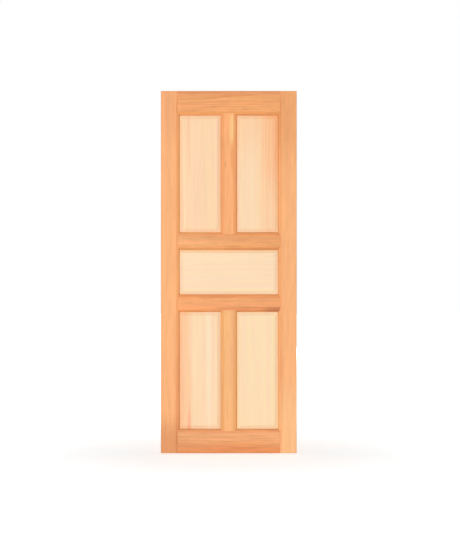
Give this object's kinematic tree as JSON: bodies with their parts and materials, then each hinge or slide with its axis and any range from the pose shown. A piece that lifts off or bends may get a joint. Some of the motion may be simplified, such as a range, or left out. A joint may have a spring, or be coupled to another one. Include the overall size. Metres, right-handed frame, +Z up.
{
  "type": "exterior panel door leaf",
  "caption": "Solid timber stile-and-rail door leaf: ovolo-moulded frame with mullions and raised panels, coped and dowelled, ready to hang.",
  "frame": {"origin": "foot of the hinge edge, midway through the leaf's thickness", "axes": "+X across the leaf from the hinge edge to the lock edge, +Y from the front face to the back, +Z up"},
  "size_m": [0.75, 0.045, 2],
  "materials": {
    "frame_wood": "sanded, unpainted",
    "panel_wood": "sanded, unpainted",
    "dowel_wood": "plain"
  },
  "bodies": {
    "root": {"left_stile": "frame_wood", "right_stile": "frame_wood", "top_rail": "frame_wood", "upper_cross_rail": "frame_wood", "lower_cross_rail": "frame_wood", "bottom_rail": "frame_wood", "upper_mullion": "frame_wood", "lower_mullion": "frame_wood", "upper_left_panel": "panel_wood", "upper_right_panel": "panel_wood", "middle_panel": "panel_wood", "lower_left_panel": "panel_wood", "lower_right_panel": "panel_wood", "top_rail_left_dowels": "dowel_wood", "top_rail_right_dowels": "dowel_wood", "upper_cross_rail_left_dowels": "dowel_wood", "upper_cross_rail_right_dowels": "dowel_wood", "lower_cross_rail_left_dowels": "dowel_wood", "lower_cross_rail_right_dowels": "dowel_wood", "bottom_rail_left_dowels": "dowel_wood", "bottom_rail_right_dowels": "dowel_wood", "upper_mullion_dowels": "dowel_wood", "lower_mullion_dowels": "dowel_wood"}
  },
  "joints": []
}
